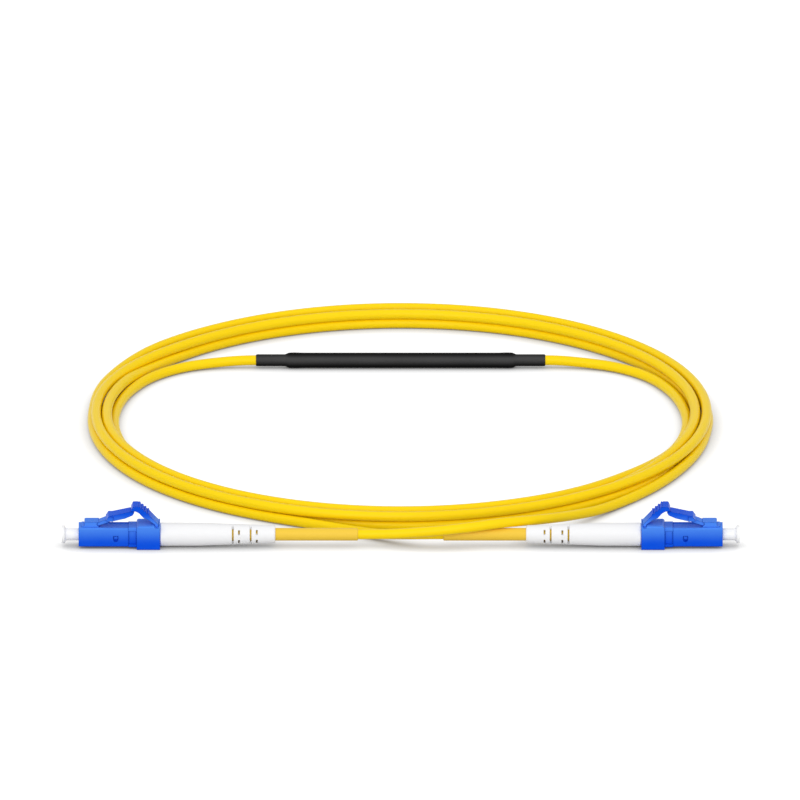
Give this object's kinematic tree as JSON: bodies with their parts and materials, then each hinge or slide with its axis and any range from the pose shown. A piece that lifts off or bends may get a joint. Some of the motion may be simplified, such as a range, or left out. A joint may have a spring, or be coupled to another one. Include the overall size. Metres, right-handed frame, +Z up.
{
  "type": "fibre test cable",
  "caption": "Coiled yellow single-fibre cable with a blue latching plug, white boot and dust cap on each end and a black sealed splice tube in line.",
  "frame": {"origin": "middle of the hardware's footprint on the surface it lies on, between the row of plugs and the splice tube", "axes": "+X along the plugs and the splice tube towards the right plug's tip, +Y from the plugs towards the splice tube, +Z up"},
  "size_m": [0.1542, 0.1551, 0.0101],
  "materials": {
    "yellow_jacket": "glossy extruded jacket",
    "blue_plug": "satin moulding",
    "white_boot": "satin soft moulding",
    "clear_cap": "milky translucent moulding",
    "black_tube": "satin shrunk tube",
    "ceramic": "polished ceramic",
    "nickel": "nickel plate",
    "spring_steel": "drawn steel",
    "buffer": "plain buffer coating"
  },
  "bodies": {
    "cable": {"left_housing": "blue_plug", "left_rear_body": "blue_plug", "left_ferrule_spring": "spring_steel", "left_spring_stop": "blue_plug", "left_crimp_ring": "nickel", "left_buffer_fibre": "buffer", "left_boot": "white_boot", "left_stiffening_sleeve": "yellow_jacket", "left_cable_end": "yellow_jacket", "left_cable_stub": "yellow_jacket", "left_lead": "yellow_jacket", "left_tail": "yellow_jacket", "right_housing": "blue_plug", "right_rear_body": "blue_plug", "right_ferrule_spring": "spring_steel", "right_spring_stop": "blue_plug", "right_crimp_ring": "nickel", "right_buffer_fibre": "buffer", "right_boot": "white_boot", "right_stiffening_sleeve": "yellow_jacket", "right_cable_end": "yellow_jacket", "right_cable_stub": "yellow_jacket", "right_lead": "yellow_jacket", "right_tail": "yellow_jacket", "shrink_tube": "black_tube", "splice_guard": "spring_steel", "splice_fibre": "buffer", "cable_coil": "yellow_jacket"},
    "left_trigger": {"left_trigger": "blue_plug"},
    "left_latch": {"left_latch": "blue_plug"},
    "left_ferrule": {"left_ferrule": "ceramic", "left_ferrule_flange": "nickel"},
    "left_cap": {"left_dust_cap": "clear_cap"},
    "right_trigger": {"right_trigger": "blue_plug"},
    "right_latch": {"right_latch": "blue_plug"},
    "right_ferrule": {"right_ferrule": "ceramic", "right_ferrule_flange": "nickel"},
    "right_cap": {"right_dust_cap": "clear_cap"}
  },
  "joints": [
    {"name": "right_trigger_press", "type": "hinge", "parent": "cable", "child": "right_trigger", "pos_m": [0.05545, -0.05923, 0.00568], "axis": [0, 1, 0], "range_deg": [0, 8], "stiffness_Nm_per_rad": 0.0004},
    {"name": "right_latch_flex", "type": "hinge", "parent": "cable", "child": "right_latch", "pos_m": [0.0686, -0.05923, 0.00579], "axis": [0, -1, 0], "range_deg": [0, 6]},
    {"name": "right_ferrule_slide", "type": "slide", "parent": "cable", "child": "right_ferrule", "axis": [-1, 0, 0], "range_m": [0, 0.0008], "stiffness_N_per_m": 60, "deforming": ["right_ferrule_spring"]},
    {"name": "right_cap_pull", "type": "slide", "parent": "cable", "child": "right_cap", "axis": [1, 0, 0], "range_m": [0, 0.012]},
    {"name": "left_trigger_press", "type": "hinge", "parent": "cable", "child": "left_trigger", "pos_m": [-0.05545, -0.05923, 0.00568], "axis": [0, -1, 0], "range_deg": [0, 8], "stiffness_Nm_per_rad": 0.0004},
    {"name": "left_latch_flex", "type": "hinge", "parent": "cable", "child": "left_latch", "pos_m": [-0.0686, -0.05923, 0.00579], "axis": [0, 1, 0], "range_deg": [0, 6]},
    {"name": "left_ferrule_slide", "type": "slide", "parent": "cable", "child": "left_ferrule", "axis": [1, 0, 0], "range_m": [0, 0.0008], "stiffness_N_per_m": 60, "deforming": ["left_ferrule_spring"]},
    {"name": "left_cap_pull", "type": "slide", "parent": "cable", "child": "left_cap", "axis": [-1, 0, 0], "range_m": [0, 0.012]}
  ],
  "couplings": [
    {"joint": "right_latch_flex", "follows": "right_trigger_press", "ratio": 0.7},
    {"joint": "left_latch_flex", "follows": "left_trigger_press", "ratio": 0.7}
  ]
}
